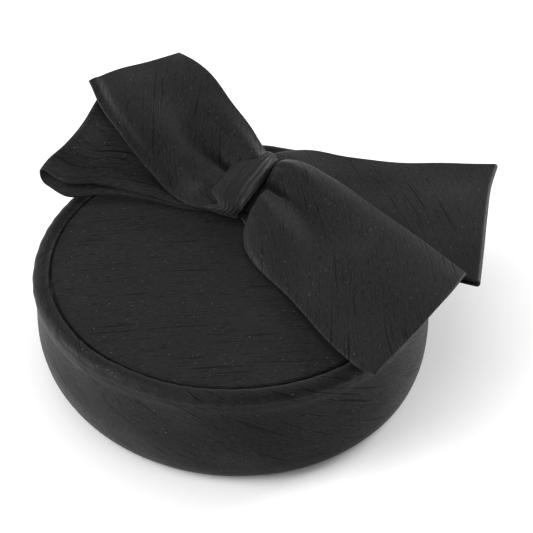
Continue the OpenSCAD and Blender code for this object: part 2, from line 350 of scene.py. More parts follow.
def slubbed_silk(name, turn, slubs=1.0):
    """Black slubbed silk; turn is the way its slubs run, from the cloth's own length, in degrees."""
    made = blank_material(name)
    tree = made[1]
    cloth = tree.nodes.new("ShaderNodeUVMap")
    cloth.uv_map = "cloth"
    weave = group_node(tree, SLUB_WEAVE, Turn=math.radians(turn), Slubs=slubs, Flecks=1.0)
    tree.links.new(cloth.outputs["UV"], weave.inputs["Cloth"])
    return finish_of(
        made, SILK_BLACK, weave.outputs["Shade"], weave.outputs["Height"], 0.5, 0.25 * MM,
        {"Sheen Weight": 0.05, "Sheen Roughness": 0.4, "Specular IOR Level": 0.08, "IOR": 1.45},
        weave.outputs["Fleck"], FLECK_GREY, (0.62, 0.46),
    )


def fibre_finish(name, color, fine, bump, rise, sockets, rough):
    """Matt surface of short fibres; a larger fine makes them finer."""
    made = blank_material(name)
    tree = made[1]
    place = tree.nodes.new("ShaderNodeTexCoord")
    fibres = group_node(tree, FIBRES, Fine=fine)
    tree.links.new(place.outputs["Object"], fibres.inputs["Place"])
    return finish_of(made, color, fibres.outputs["Shade"], fibres.outputs["Height"], bump, rise,
                     sockets, rough=rough)


def satin(name, turn, color):
    """Smooth satin: the same weave almost without slubs, and a stronger shine."""
    made = blank_material(name)
    tree = made[1]
    cloth = tree.nodes.new("ShaderNodeUVMap")
    cloth.uv_map = "cloth"
    weave = group_node(tree, SLUB_WEAVE, Turn=math.radians(turn), Slubs=0.12, Flecks=0.0)
    tree.links.new(cloth.outputs["UV"], weave.inputs["Cloth"])
    return finish_of(made, color, weave.outputs["Shade"], weave.outputs["Height"], 0.12, 0.15 * MM,
                     {"Sheen Weight": 0.15, "Specular IOR Level": 0.6, "Anisotropic": 0.5},
                     rough=(0.4, 0.28))


silk_top = slubbed_silk("silk_top_panel", -3.0)
silk_side = slubbed_silk("silk_side_band", 31.0)
silk_tail = slubbed_silk("silk_bow_tails", 42.0)
silk_loop_right = slubbed_silk("silk_bow_loop_right", -62.0)
silk_loop_left = slubbed_silk("silk_bow_loop_left", 6.0)
silk_knot = slubbed_silk("silk_knot", 8.0, slubs=0.8)
silk_wall = slubbed_silk("silk_base_wall", 0.0)
velvet = fibre_finish(
    "black_velvet", (0.011, 0.011, 0.013), 1.0, 0.35, 0.3 * MM,
    {"Sheen Weight": 0.9, "Sheen Roughness": 0.28, "Specular IOR Level": 0.15}, (0.95, 0.85))
felt = fibre_finish("black_felt", (0.022, 0.022, 0.023), 0.8, 0.6, 0.4 * MM,
                    {"Sheen Weight": 0.4, "Sheen Roughness": 0.6, "Specular IOR Level": 0.1}, (1.0, 0.9))
greyboard = fibre_finish("greyboard", (0.36, 0.34, 0.31), 0.55, 0.25, 0.2 * MM,
                         {"Specular IOR Level": 0.2}, (0.95, 0.85))
wadding = fibre_finish("white_wadding", (0.78, 0.77, 0.73), 0.5, 0.8, 0.8 * MM,
                       {"Sheen Weight": 0.3, "Specular IOR Level": 0.1}, (1.0, 0.95))
thread = fibre_finish("black_thread", (0.028, 0.027, 0.028), 1.6, 0.5, 0.1 * MM,
                      {"Sheen Weight": 0.2, "Specular IOR Level": 0.35}, (0.6, 0.5))
lining_satin = satin("charcoal_satin", 0.0, (0.085, 0.082, 0.086))


# ---------------------------------------------------------------- lid outside

band_low, band_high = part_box("side_band")
panel_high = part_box("top_panel_cover")[1]
rim_top = band_high.z
rim_out = band_high.x
hem = band_low.z
panel_r = panel_high.x - 0.3 * MM
ROLL_HIGH, ROLL_WIDE = 3.9 * MM, 3.95 * MM


def side_outline():
    """Section of the silk side: turned-under hem, soft side, slight waist and rolled rim."""
    roll_x, roll_z = rim_out - ROLL_WIDE, rim_top - ROLL_HIGH
    side = [
        (rim_out - 8.1 * MM, hem + 0.5 * MM), (rim_out - 6.2 * MM, hem + 0.1 * MM),
        (rim_out - 4.5 * MM, hem + 0.6 * MM), (rim_out - 2.7 * MM, hem + 3.0 * MM),
        (rim_out - 1.2 * MM, hem + 7.5 * MM), (rim_out - 0.5 * MM, hem + 13.0 * MM),
        (rim_out - 0.2 * MM, hem + 19.0 * MM), (rim_out - 0.4 * MM, hem + 26.0 * MM),
        (rim_out - 0.7 * MM, hem + 33.0 * MM), (rim_out - 0.9 * MM, hem + 39.0 * MM),
        (rim_out - 0.8 * MM, roll_z - 1.5 * ROLL_HIGH), (rim_out - 0.35 * MM, roll_z - 0.85 * ROLL_HIGH),
    ]
    turns = np.radians(np.linspace(-18, 232, 13))
    rolled = [(roll_x + ROLL_WIDE * math.cos(a), roll_z + ROLL_HIGH * math.sin(a)) for a in turns]
    return curve_through(side + rolled, np.linspace(0, 1, 120))


def run_length(outline):
    """Length along an outline up to each of its points."""
    return np.concatenate([[0], np.cumsum(np.linalg.norm(np.diff(outline, axis=0), axis=1))])


TUCK_AT = math.radians(222)
TUCK_WIDTH = math.radians(42)


def away_from_joint(angle):
    """0 where the two ends of a strip meet and 1 a little way off, so that the ends lie level."""
    return smooth(0.0, 0.12, np.minimum(angle, TURN - angle))


def soft_side(angle, radius, height):
    """The side is tucked in more at one place and shows shallow drag lines from the bias cut."""
    tucked = np.exp(-((np.angle(np.exp(1j * (angle - TUCK_AT))) / TUCK_WIDTH) ** 2))
    lean = -3.0 * MM * tucked * (1 - smooth(1 * MM, 30 * MM, height))
    across = angle * rim_out
    free = away_from_joint(angle)
    drag = ripple(across + height * 0.9, height * 0.35, 11, 8, 12, 55) * 0.20 * MM * free
    slow = ripple(across, height * 0.6, 5, 5, 2, 9) * 0.32 * MM * free
    close = np.cos(angle) * np.cos(angle)
    on_side = smooth(hem + 1 * MM, hem + 10 * MM, height)
    under_roll = smooth(rim_top - 9 * MM, rim_top - 5 * MM, height)
    pucker = 0.10 * MM * np.sin(angle * 61 + 2.2 * np.sin(angle * 7)) * under_roll
    moved = radius + lean + (drag + slow * (0.6 + 0.4 * close)) * (0.35 + 0.65 * on_side) + pucker
    return moved, height + 0.12 * MM * ripple(across, height, 8, 5, 3, 14) * on_side * free


side_line = side_outline()
side_band = lathe("side_band_silk", side_line, run_length(side_line), 420, silk_side, soft_side)


def crown_line():
    """Section of the crowned panel from its centre to the edge and down beside the rim."""
    crown = 3.2 * MM
    edge_round = 1.7 * MM
    edge_z = panel_high.z - crown
    flat = np.linspace(0, panel_r - edge_round, 70)
    ball = (panel_r**2 + crown**2) / (2 * crown)
    top = np.stack([flat, panel_high.z - ball + np.sqrt(ball**2 - flat**2)], -1)
    turns = np.radians(np.linspace(80, 0, 6))
    turn_x, drop = panel_r - edge_round, top[-1][1] - edge_round
    edge = [(turn_x + edge_round * math.cos(a), drop + edge_round * math.sin(a)) for a in turns]
    down = [(panel_r, drop - 0.6 * MM), (panel_r - 0.1 * MM, min(edge_z, drop) - 1.2 * MM)]
    return np.array([*top, *edge, *down])


def soft_panel(angle, radius, height):
    """Faint pulls from the edge and a slow unevenness of the padding."""
    x, y = radius * np.cos(angle), radius * np.sin(angle)
    near_edge = smooth(panel_r - 12 * MM, panel_r - 1 * MM, radius)
    pulls = 0.09 * MM * np.sin(angle * 47 + 1.7 * np.sin(angle * 5)) * near_edge
    slow = 0.16 * MM * ripple(x, y, 21, 6, 8, 26) * (1 - near_edge)
    return radius, height + pulls + slow


panel_line = crown_line()
top_panel = lathe(
    "top_panel_silk", panel_line, run_length(panel_line), 300, silk_top, soft_panel, flat=True)


# ---------------------------------------------------------------- bow

knot_low, knot_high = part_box("knot_band")
knot_mid = (knot_low + knot_high) / 2
BOW_TURN = math.radians(-26.6)
along_bow = np.array([math.cos(BOW_TURN), math.sin(BOW_TURN), 0.0])
across_bow = np.array([-math.sin(BOW_TURN), math.cos(BOW_TURN), 0.0])


def from_knot(points):
    """Points given in millimetres from the middle of the knot."""
    return np.array(knot_mid)[None] + MM * np.asarray(points, float)


def patch(front, back, root, end, s, t):
    """Face spanned by four edges: front and back run outwards, root and end from the front to the back."""
    front_run, back_run = curve_through(front, s)[:, None], curve_through(back, s)[:, None]
    root_run, end_run = curve_through(root, t)[None], curve_through(end, t)[None]
    s, t = s[:, None, None], t[None, :, None]
    corners = (
        (1 - s) * (1 - t) * front_run[0] + (1 - s) * t * back_run[0]
        + s * (1 - t) * front_run[-1] + s * t * back_run[-1]
    )
    return (1 - t) * front_run + t * back_run + (1 - s) * root_run + s * end_run - corners


def edge_distance(middle):
    """Distance of each grid point from the nearest of the grid's four edges, in metres."""
    along = np.cumsum(np.linalg.norm(np.diff(middle, axis=0, prepend=middle[:1]), axis=2), axis=0)
    across = np.cumsum(np.linalg.norm(np.diff(middle, axis=1, prepend=middle[:, :1]), axis=2), axis=1)
    return np.minimum.reduce([along, along[-1] - along, across, across[:, -1:] - across])


def flat_size(middle):
    """Mean length along the grid's rows and mean width across them, in metres."""
    along = np.linalg.norm(np.diff(middle, axis=0), axis=2).sum(axis=0).mean()
    across = np.linalg.norm(np.diff(middle, axis=1), axis=2).sum(axis=1).mean()
    return along, across


def wing_normals(face):
    """Normals of one wing of the bow, all on its upper side."""
    n = grid_normals(face)
    return n * np.sign(n[..., 2:].mean())


def tail(name, edges, relief, side, half=0.8 * MM):
    """One doubled tail; relief(s, t) lifts it, and side is +1 on the right and -1 on the left."""
    front, back, root, end = (from_knot(edge) for edge in edges)
    s, t = rounded_shares(130, 0.11, half), rounded_shares(74, 0.06, half)
    face = patch(front, back, root, end, s, t)
    face = face + wing_normals(face) * relief(s[:, None], t[None])[..., None]
    length, width = flat_size(face)
    uv = np.stack(np.broadcast_arrays(side * s[:, None] * length, (t[None] - 0.5) * width), -1)
    plump = half * rim_height(edge_distance(face), half)
    plump[0], plump[-1], plump[:, 0], plump[:, -1] = 0, 0, 0, 0
    return cloth_shell(name, face, plump, uv, silk_tail), (length, width)


PARTING = np.array([0, 0.28, 0.96])


def loop(name, edges, relief, gap, side, silk, part=None, half=0.65 * MM):
    """One loop: the strip runs out low, turns round a soft fold and comes back gap(s, t) above itself.
    part(t) is how far the two passes part along PARTING instead of square to the face."""
    front, back, root, end = (from_knot(edge) for edge in edges)
    s, t = np.linspace(0, 1, 110), rounded_shares(64, 0.07, half)
    face = patch(front, back, root, end, s, t)
    normals = wing_normals(face)
    face = face + normals * relief(s[:, None], t[None])[..., None]
    if part:
        upright = part(t)[None, :, None]
        normals = normals * (1 - upright) + PARTING * upright
    open_by = gap(s[:, None], t[None])
    outward = face[-1] - face[-4]
    outward = outward / np.linalg.norm(outward, axis=-1, keepdims=True)
    turns = np.radians(np.linspace(-90, 90, 15))[1:-1]
    bend = [face[-1] + open_by[-1, :, None] / 2 * (normals[-1] * math.sin(a) + outward * math.cos(a))
            for a in turns]
    low = face - normals * open_by[..., None] / 2
    high = face + normals * open_by[..., None] / 2
    strip = np.concatenate([low, np.array(bend), high[::-1]])
    length, width = flat_size(strip)
    run = np.linspace(0, length, len(strip))
    uv = np.stack(np.broadcast_arrays(side * run[:, None], (t[None] - 0.5) * width), -1)
    plump = half * rim_height(edge_distance(strip), half)
    plump[0], plump[-1], plump[:, 0], plump[:, -1] = 0, 0, 0, 0
    return cloth_shell(name, strip, plump, uv, silk), (length, width)


def gathered_lobes(s, t, count, fade):
    """Rounded lobes that the gathering makes across the strip beside the knot; they fade along it."""
    lobes = np.abs(np.sin(count * math.pi * t)) ** 0.7
    return lobes * smooth(0.04, 0.14, s) * (1 - smooth(0.16, fade, s))


def plateau(t, power):
    """1 across the middle of the strip and 0 at both edges, with a rounded shoulder."""
    return np.sqrt(np.clip(1 - np.abs(2 * t - 1) ** power, 0, 1))


def right_tail_relief(s, t):
    """Two plump lobes come out from under the knot; the valley between them fades along the tail."""
    swell = 9.0 * MM * smooth(0.085, 0.15, s) * (1 - 0.75 * smooth(0.17, 0.55, s)) * plateau(t, 3.0)
    valley_at = 0.55 + 0.03 * smooth(0.1, 0.22, s) - 0.14 * smooth(0.25, 0.6, s)
    sharp = 6.0 * MM * bell(t, valley_at, 0.045) * (1 - smooth(0.15, 0.26, s))
    fading = smooth(0.08, 0.2, s) * (1 - smooth(0.22, 0.62, s))
    broad = 4.5 * MM * bell(t, valley_at, 0.10 + 0.12 * s) * fading
    pull = 0.35 * MM * np.sin(38 * t + 5 * s) * (1 - smooth(0.12, 0.4, s)) * smooth(0.09, 0.14, s)
    uneven = 0.3 * MM * ripple(s * 0.1, t * 0.07, 31, 6, 12, 40)
    edge_roll = -0.8 * MM * bell(t, 1.0, 0.08) * smooth(0.3, 0.5, s)
    return swell - sharp - broad + pull + edge_roll + uneven


def left_tail_relief(s, t):
    """A deep crease runs out from the knot and parts the tail's front from the ridge that joins the knot."""
    crease_at = 0.55 - 0.10 * smooth(0.25, 0.45, s) + 0.12 * smooth(0.45, 0.8, s)
    sharp_fading = smooth(0.07, 0.12, s) * (1 - smooth(0.15, 0.34, s))
    sharp = 5.0 * MM * bell(t, crease_at, 0.045 + 0.03 * s) * sharp_fading
    soft = 1.9 * MM * bell(t, crease_at, 0.14) * smooth(0.1, 0.2, s) * (1 - smooth(0.25, 0.6, s))
    ridge = 3.5 * MM * bell(t, 0.82, 0.16) * smooth(0.03, 0.12, s) * (1 - smooth(0.3, 0.7, s))
    front = 2.8 * MM * bell(t, 0.26, 0.19) * smooth(0.1, 0.2, s) * (1 - smooth(0.35, 0.9, s))
    rise = 3.2 * MM * bell(t, 0.30, 0.24) * (1 - smooth(0.08, 0.3, s))
    lip = 1.0 * MM * bell(t, 0.05, 0.05) * smooth(0.2, 0.4, s)
    pull = 0.3 * MM * np.sin(30 * t + 6 * s) * (1 - smooth(0.12, 0.4, s)) * smooth(0.05, 0.1, s)
    sag = -2.4 * MM * np.sin(math.pi * s) ** 1.5
    uneven = 0.35 * MM * ripple(s * 0.1, t * 0.06, 17, 6, 12, 40)
    return sag + ridge + front + rise + lip + pull - sharp - soft + uneven


def right_loop_relief(s, t):
    """Two gathered lobes beside the knot run out into one shallow arch."""
    lobes = 3.0 * MM * gathered_lobes(s, t, 2, 0.4)
    arch = 1.5 * MM * np.sin(math.pi * t) * smooth(0.1, 0.4, s)
    return lobes + arch + 0.4 * MM * ripple(s * 0.1, t * 0.08, 41, 6, 10, 35)


def left_loop_relief(s, t):
    """A rounded lip runs along the front edge, and behind it the face dips before it rises."""
    lip = 2.2 * MM * bell(t, 0.08, 0.09) * smooth(0.3, 0.6, s)
    dip = -1.5 * MM * bell(t, 0.32, 0.14) * smooth(0.2, 0.5, s)
    return lip + dip + 0.3 * MM * ripple(s * 0.1, t * 0.08, 51, 6, 10, 35)


# The four edges of each wing, front, back, root and end, in millimetres from the middle of the knot.
right_tail_edges = (
    [(-3, -17, -3), (1, -24, -5), (2, -41.5, -5.7), (21, -75, -5.7), (44, -112, -6.2), (50, -119, -6.2),
     (56, -122.5, -6.2)],
    [(2, 18, -3), (11, 16, -1.5), (27, 14, -0.5), (41, 3, -0.2), (70, -29.5, -0.2), (88, -51, -0.2),
     (98.5, -65, -0.2)],
    [(-3, -17, -3), (0, -2, -3), (2, 18, -3)],
    [(56, -122.5, -6.2), (68, -108, -5.0), (82, -91, -2.2), (92, -77, -0.6), (98.5, -65, -0.2)],
)
left_tail_edges = (
    [(-8, -16, -2), (-19, -16, -3), (-31, -9.5, -1), (-43, 0, 8), (-57, 13, 20), (-68, 26, 28),
     (-73, 35, 33)],
    [(6, 18, 3), (10, 16, 3), (6, 25, 10), (-4, 38, 18), (-16, 60.5, 22), (-32, 77.5, 22)],
    [(-8, -16, -2), (-4, -5, 1.5), (-1, 5, 2.5), (6, 18, 3)],
    [(-73, 35, 33), (-60, 50, 30), (-46, 65, 25), (-32, 77.5, 22)],
)
right_loop_edges = (
    [(-3, -15, -4), (8, -23, -4.5), (30, -38, -4.5), (70, -54, -4.5), (103, -66.5, -4.5)],
    [(2, 20, -3), (13, 24, -2), (32, 29, -3), (51, 24, -3.5), (75, 19, -3.5), (99, 18.5, -3.5),
     (119.5, 17.5, -3)],
    [(-3, -15, -4), (0, 2, -3.5), (2, 20, -3)],
    [(103, -66.5, -4.5), (106.5, -45, -4.2), (110.5, -21, -3.8), (115, 2, -3.4), (119.5, 17.5, -3)],
)
left_loop_edges = (
    [(0, -15, -4.5), (-12, -14, -4.5), (-20, -13.5, -4.5), (-43, -7, -4), (-67, -2.5, -2.5), (-83, -2.5, -2),
     (-92, 2, 1)],
    [(4, 20, -3), (-6, 29, 2), (-22, 44, 12), (-36, 54, 20), (-49, 60, 22)],
    [(0, -15, -4.5), (0, 2, -3.5), (4, 20, -3)],
    [(-92, 2, 1), (-85, 11, 6), (-78.5, 17, 13), (-72.5, 22, 20), (-66, 36, 24), (-49, 60, 22)],
)


def right_loop_gap(s, t):
    return (1.5 + 0.8 * smooth(0.3, 0.9, s) + 0.3 * np.sin(5 * t)) * MM


def left_loop_gap(s, t):
    """The two passes open into a slit along the front edge towards the fold."""
    slit = 4.4 * smooth(0.45, 0.9, s) * (1 - smooth(0.0, 0.45, t))
    return (1.4 + 1.2 * smooth(0.2, 0.8, s) + slit) * MM


def front_half(t):
    return 1 - smooth(0.1, 0.5, t)


right_tail, right_tail_cut = tail("tail_right", right_tail_edges, right_tail_relief, 1)
left_tail, left_tail_cut = tail("tail_left", left_tail_edges, left_tail_relief, -1)
right_loop, right_loop_cut = loop(
    "loop_right", right_loop_edges, right_loop_relief, right_loop_gap, 1, silk_loop_right)
left_loop, left_loop_cut = loop(
    "loop_left", left_loop_edges, left_loop_relief, left_loop_gap, -1, silk_loop_left, front_half)


def knot_piece():
    """Pleated band wrapped once round the middle of the bow, narrower where it turns under."""
    turns, wides = 160, 96
    turn = np.linspace(0, TURN, turns, endpoint=False)[:, None]
    wide = np.linspace(-1, 1, wides)[None]
    half_long, half_high = 23.2 * MM, (knot_high.z - knot_low.z) / 2
    ring_x = np.sign(np.cos(turn)) * np.abs(np.cos(turn)) ** 0.62 * half_long
    ring_z = np.sign(np.sin(turn)) * np.abs(np.sin(turn)) ** 0.8 * half_high
    top = smooth(-0.2, 0.5, np.sin(turn))
    far, near = smooth(4 * MM, 22 * MM, ring_x), 1 - smooth(-25 * MM, -15 * MM, ring_x)
    half_wide = (9.4 - 4.6 * far - 4.4 * near) * MM * top + 9.0 * MM * (1 - top)
    sway = (2.4 * far + 5.0 * near) * MM * top
    bulge = 5.2 * MM * (np.sqrt(np.clip(1 - wide**2, 0, 1)) - 0.62) * (1 - 0.4 * near)
    pleat_at = (wide + 1) / 2 * 6.3 + 0.25 * np.sin(turn * 2 + 1.0) + 0.1 * np.sin(turn * 5)
    pleat_depth = 0.5 * MM * (0.5 + 0.4 * near + 0.3 * far + 0.3 * wide)
    pleats = (np.abs(np.sin(math.pi * pleat_at)) ** 0.6 - 0.7) * pleat_depth
    lift = bulge * (0.25 + 0.75 * top) + pleats * (0.3 + 0.7 * top)
    outward = np.concatenate([np.cos(turn), np.sin(turn)], 1)
    place_v = ring_x + outward[:, :1] * lift
    place_z = ring_z + outward[:, 1:] * lift
    place_u = wide * half_wide + sway
    outer = (np.array(knot_mid) + place_u[..., None] * along_bow + place_v[..., None] * across_bow
             + place_z[..., None] * UP)
    inward = -outward[:, :1, None] * across_bow - outward[:, 1:, None] * UP
    thick = 1.1 * MM * rim_height((1 - np.abs(wide)) * 11 * MM, 0.6 * MM)
    inner = outer + inward * thick[..., None]
    run = turn * 12 * MM
    uv = np.stack(np.broadcast_arrays(run, wide * 26 * MM), -1)
    points = np.concatenate([outer.reshape(-1, 3), inner[:, 1:-1].reshape(-1, 3)])
    uvs = np.concatenate([uv.reshape(-1, 2), uv[:, 1:-1].reshape(-1, 2)])
    index = np.arange(turns * wides).reshape(turns, wides)
    under = index.copy()
    under[:, 1:-1] = turns * wides + np.arange(turns * (wides - 2)).reshape(turns, wides - 2)
    faces = []
    for i in range(turns):
        k = (i + 1) % turns
        for j in range(wides - 1):
            outside = (index[i, j], index[k, j], index[k, j + 1], index[i, j + 1])
            inside = (under[i, j + 1], under[k, j + 1], under[k, j], under[i, j])
            faces.append(tuple(int(v) for v in outside))
            faces.append(tuple(int(v) for v in inside))
    return new_piece("knot_silk", points, faces, uvs, silk_knot)


knot_silk = knot_piece()


# ---------------------------------------------------------------- stage

studio = bpy.data.worlds.new("studio")
studio.use_nodes = True
studio.node_tree.nodes["Background"].inputs["Color"].default_value = (1.0, 1.0, 1.0, 1.0)
studio.node_tree.nodes["Background"].inputs["Strength"].default_value = 0.58
scene.world = studio
scene.view_settings.view_transform = "Standard"

floor_made = blank_material("pale_floor")
floor_surface = floor_made[1].nodes["Principled BSDF"]
floor_surface.inputs["Base Color"].default_value = (0.9, 0.9, 0.9, 1.0)
floor_surface.inputs["Roughness"].default_value = 0.9
floor_surface.inputs["Specular IOR Level"].default_value = 0.1
floor_corners = [(-3, -3), (3, -3), (3, 3), (-3, 3)]
floor_points = [(x, y, 0) for x, y in floor_corners]
floor = new_piece("floor", floor_points, [(0, 1, 2, 3)], floor_corners, floor_made[0])


LIT_POINT = Vector((0, 0, 0.05))


def soft_light(name, place, size, power):
    """Rectangular lamp that faces LIT_POINT; place and size in metres."""
    lamp = bpy.data.lights.new(name, "AREA")
    lamp.shape = "RECTANGLE"
    lamp.size, lamp.size_y = size
    lamp.energy = power
    light = bpy.data.objects.new(name, lamp)
    light.location = place
    light.rotation_euler = (LIT_POINT - Vector(place)).to_track_quat("-Z", "Y").to_euler()
    scene.collection.objects.link(light)


soft_light("overhead_panel", (0, 0, 1.4), (0.9, 0.9), 4)
soft_light("left_panel", (-1.0, -0.15, 0.2), (0.6, 0.5), 15)
soft_light("left_high_panel", (-0.7, -0.3, 1.0), (0.6, 0.5), 5)
soft_light("right_back_panel", (1.0, 0.7, 0.35), (0.6, 0.5), 20)

LOOK_DOWN = math.radians(40.2)
CAMERA_FAR = 0.765
look_at = Vector((0.015, 0.0, 0.0485))
lens = bpy.data.cameras.new("front_above")
lens.lens = 114.28
lens.sensor_width = 36.0
lens.clip_start = 0.05
lens.clip_end = 20.0
camera = bpy.data.objects.new("front_above", lens)
camera.location = look_at + CAMERA_FAR * Vector((0.0, -math.cos(LOOK_DOWN), math.sin(LOOK_DOWN)))
camera.rotation_euler = (look_at - camera.location).to_track_quat("-Z", "Y").to_euler()
scene.collection.objects.link(camera)
scene.camera = camera


# ---------------------------------------------------------------- padding under the silk

def closed_lathe(name, outline, sides, material, shift):
    """Turned closed piece from a closed outline of (radius, height) points, moved by shift as in lathe."""
    outline = np.asarray(outline, float)
    angle = np.tile(np.linspace(0, TURN, sides, endpoint=False)[:, None], (1, len(outline)))
    radius = np.tile(outline[:, 0], (sides, 1))
    height = np.tile(outline[:, 1], (sides, 1))
    radius, height = shift(angle, radius, height)
    x, y = radius * np.cos(angle), radius * np.sin(angle)
    points = np.stack([x, y, height], -1)
    uv = np.stack([x, y], -1)
    faces = quads(sides, len(outline), wrap_rows=True, wrap_cols=True)
    return new_piece(name, points.reshape(-1, 3), faces, uv.reshape(-1, 2), material)


def rounded_section(inner, outer, low, high, round_by, steps):
    """Closed outline of a pad between two radii: flat underneath, rounded at both upper corners."""
    turns = np.radians(np.linspace(0, 90, steps))
    outer_x, inner_x, shoulder = outer - round_by, inner + round_by, high - round_by
    outer_top = [(outer_x + round_by * math.cos(a), shoulder + round_by * math.sin(a)) for a in turns]
    inner_top = [(inner_x - round_by * math.sin(a), shoulder + round_by * math.cos(a)) for a in turns]
    return [(inner, low), (outer, low), *outer_top, *inner_top]


def grown(outline, by):
    """The open outline moved inwards from the silk by that many metres, so a layer lies under it."""
    outline = np.asarray(outline, float)
    run = np.gradient(outline, axis=0)
    square = np.stack([run[:, 1], -run[:, 0]], -1)
    square = square / np.linalg.norm(square, axis=1, keepdims=True)
    return outline - square * by


board_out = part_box("lid_wall_board")[1].x
on_side = side_line[(side_line[:, 1] < rim_top - 9.5 * MM) & (side_line[:, 0] > rim_out - 7 * MM)]
at_board = board_out + 0.1 * MM
wadding_line = [*grown(on_side, 0.8 * MM), (at_board, on_side[-1][1]), (at_board, on_side[0][1] + 1 * MM)]
side_wadding = closed_lathe("side_wadding_soft", wadding_line, 240, wadding, soft_side)

cord_low, cord_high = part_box("rim_filler_cord")
cord_r = (cord_high.z - cord_low.z) / 2
cord_turns = np.linspace(0, TURN, 20, endpoint=False)
cord_x, cord_z = cord_high.x - cord_r, cord_high.z - cord_r
cord_line = [(cord_x + cord_r * math.cos(a), cord_z + cord_r * math.sin(a)) for a in cord_turns]


def twisted(angle, radius, height):
    """Plies of the filler cord winding round it."""
    round_it = np.arctan2(height - cord_z, radius - cord_x)
    ply = 0.88 - 0.07 * np.abs(np.sin(1.5 * (round_it + angle * 55)))
    return cord_x + (radius - cord_x) * ply, cord_z + (height - cord_z) * ply


rim_cord = closed_lathe("rim_filler_soft", cord_line, 900, wadding, twisted)

foam_low, foam_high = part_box("top_panel_foam")
foam_under = crown_line() - np.array([0, 0.65 * MM])
foam_top = [(r, z) for r, z in foam_under if r < foam_high.x - 1.6 * MM and z > foam_low.z]
foam_line = [(0.1 * MM, foam_low.z), *foam_top, (foam_high.x - 0.6 * MM, foam_low.z)]
panel_foam = closed_lathe("top_panel_foam_soft", foam_line, 160, wadding, soft_panel)


# ---------------------------------------------------------------- lid inside

lining_low, lining_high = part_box("lid_lining_wall")


def lining_folds(angle, radius, height):
    """The satin is glued at its top and bottom and stands off a little in shallow upright folds."""
    share = (height - lining_low.z) / (lining_high.z - lining_low.z)
    free = np.sin(math.pi * np.clip(share, 0, 1))
    small = 0.32 * MM * np.sin(angle * 34 + 1.4 * np.sin(angle * 5))
    large = 0.25 * MM * np.sin(angle * 13 + height * 40)
    return radius - (small + large + 0.35 * MM) * free, height


lining_rows = np.linspace(lining_high.z - 0.2 * MM, lining_low.z + 0.6 * MM, 24)
lining_face = [(lining_high.x - 0.55 * MM, z) for z in lining_rows]
lining_turned = [
    (lining_high.x - 0.45 * MM, lining_low.z + 0.1 * MM),
    (lining_high.x - 0.05 * MM, lining_low.z + 0.2 * MM),
    (lining_high.x, lining_low.z + 3 * MM),
]
lining_line = np.array([*lining_face, *lining_turned])
lid_lining = lathe(
    "lid_lining_satin", lining_line, run_length(lining_line), 480, lining_satin, lining_folds)

ceiling_low, ceiling_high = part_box("lid_ceiling_pad")
STITCHES = 6


def quilted(angle, radius, height):
    """Padded satin drawn in at a ring of stitches and one in the middle, with pulls running between them."""
    x, y = radius * np.cos(angle), radius * np.sin(angle)
    ring = 0.55 * ceiling_high.x
    drawn = bell(np.hypot(x, y), 0, 8 * MM)
    for k in range(STITCHES):
        at = TURN * k / STITCHES
        away = np.hypot(x - ring * math.cos(at), y - ring * math.sin(at))
        drawn = np.maximum(drawn, bell(away, 0, 8 * MM))
    near_edge = smooth(ceiling_high.x - 9 * MM, ceiling_high.x, radius)
    puff = 1.0 * MM * (1 - near_edge) - 1.6 * MM * drawn
    outer_part = smooth(0.6 * ceiling_high.x, ceiling_high.x, radius)
    pulls = 0.16 * MM * np.sin(angle * 40 + 3 * np.sin(angle * 3)) * outer_part
    return radius, height - puff - pulls


ceiling_rows = np.linspace(0.1 * MM, ceiling_high.x - 1.2 * MM, 90)
ceiling_face = [(r, ceiling_low.z + 0.7 * MM) for r in ceiling_rows]
ceiling_edge = [
    (ceiling_high.x - 0.5 * MM, ceiling_low.z + 1.1 * MM),
    (ceiling_high.x - 0.3 * MM, ceiling_high.z - 0.1 * MM),
]
ceiling_line = np.array([*ceiling_face, *ceiling_edge])
lid_ceiling = lathe(
    "lid_ceiling_satin", ceiling_line, run_length(ceiling_line), 300, lining_satin, quilted, flat=True)


# ---------------------------------------------------------------- base and its velvet insert

cover_low, cover_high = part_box("base_wall_cover")


def cover_line():
    """Section of the silk on the base wall: turned under the wall, up its outside and over its rim."""
    board_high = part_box("base_wall_board")[1]
    inside = board_high.x - 2.1 * MM
    out, top, low = cover_high.x, cover_high.z, cover_low.z
    turns = np.radians(np.linspace(0, 180, 11))
    half = (out - inside) / 2
    over = [(inside + half + half * math.cos(a), top - 0.8 * MM + 0.75 * MM * math.sin(a)) for a in turns]
    rise = [(out, z) for z in np.linspace(low + 0.5 * MM, top - 2 * MM, 16)]
    return np.array([(out - 3 * MM, low + 0.02 * MM), (out - 0.5 * MM, low + 0.05 * MM), *rise, *over])


def cover_seam(angle, radius, height):
    """Overlapped joint of the cover and the faint unevenness of glued silk."""
    wrapped = np.angle(np.exp(1j * (angle - math.radians(100))))
    overlap = 0.25 * MM * smooth(-0.055, -0.05, wrapped) * (1 - smooth(0.0, 0.10, wrapped))
    uneven = 0.08 * MM * ripple(angle * cover_high.x, height, 61, 6, 12, 60) * away_from_joint(angle)
    return radius + np.minimum(overlap + uneven - 0.1 * MM, 0.3 * MM), height


base_cover_line = cover_line()
base_cover = lathe(
    "base_wall_silk", base_cover_line, run_length(base_cover_line), 360, silk_wall, cover_seam)

collar_low, collar_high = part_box("base_lining_collar")
collar_in = collar_high.x - 1.0 * MM
collar_line = rounded_section(collar_in, collar_high.x, collar_low.z, collar_high.z, 0.48 * MM, 6)
collar_rows = [(collar_in, z) for z in np.linspace(collar_high.z - 1 * MM, collar_low.z + 1 * MM, 14)]
collar_line = [*collar_line, *collar_rows]


def collar_nap(angle, radius, height):
    """The velvet's uneven inner face."""
    on_face = radius < collar_in + 0.2 * MM
    return radius + 0.10 * MM * ripple(angle * collar_high.x, height, 71, 7, 15, 70) * on_face, height


base_collar = closed_lathe("base_collar_velvet", collar_line, 320, velvet, collar_nap)

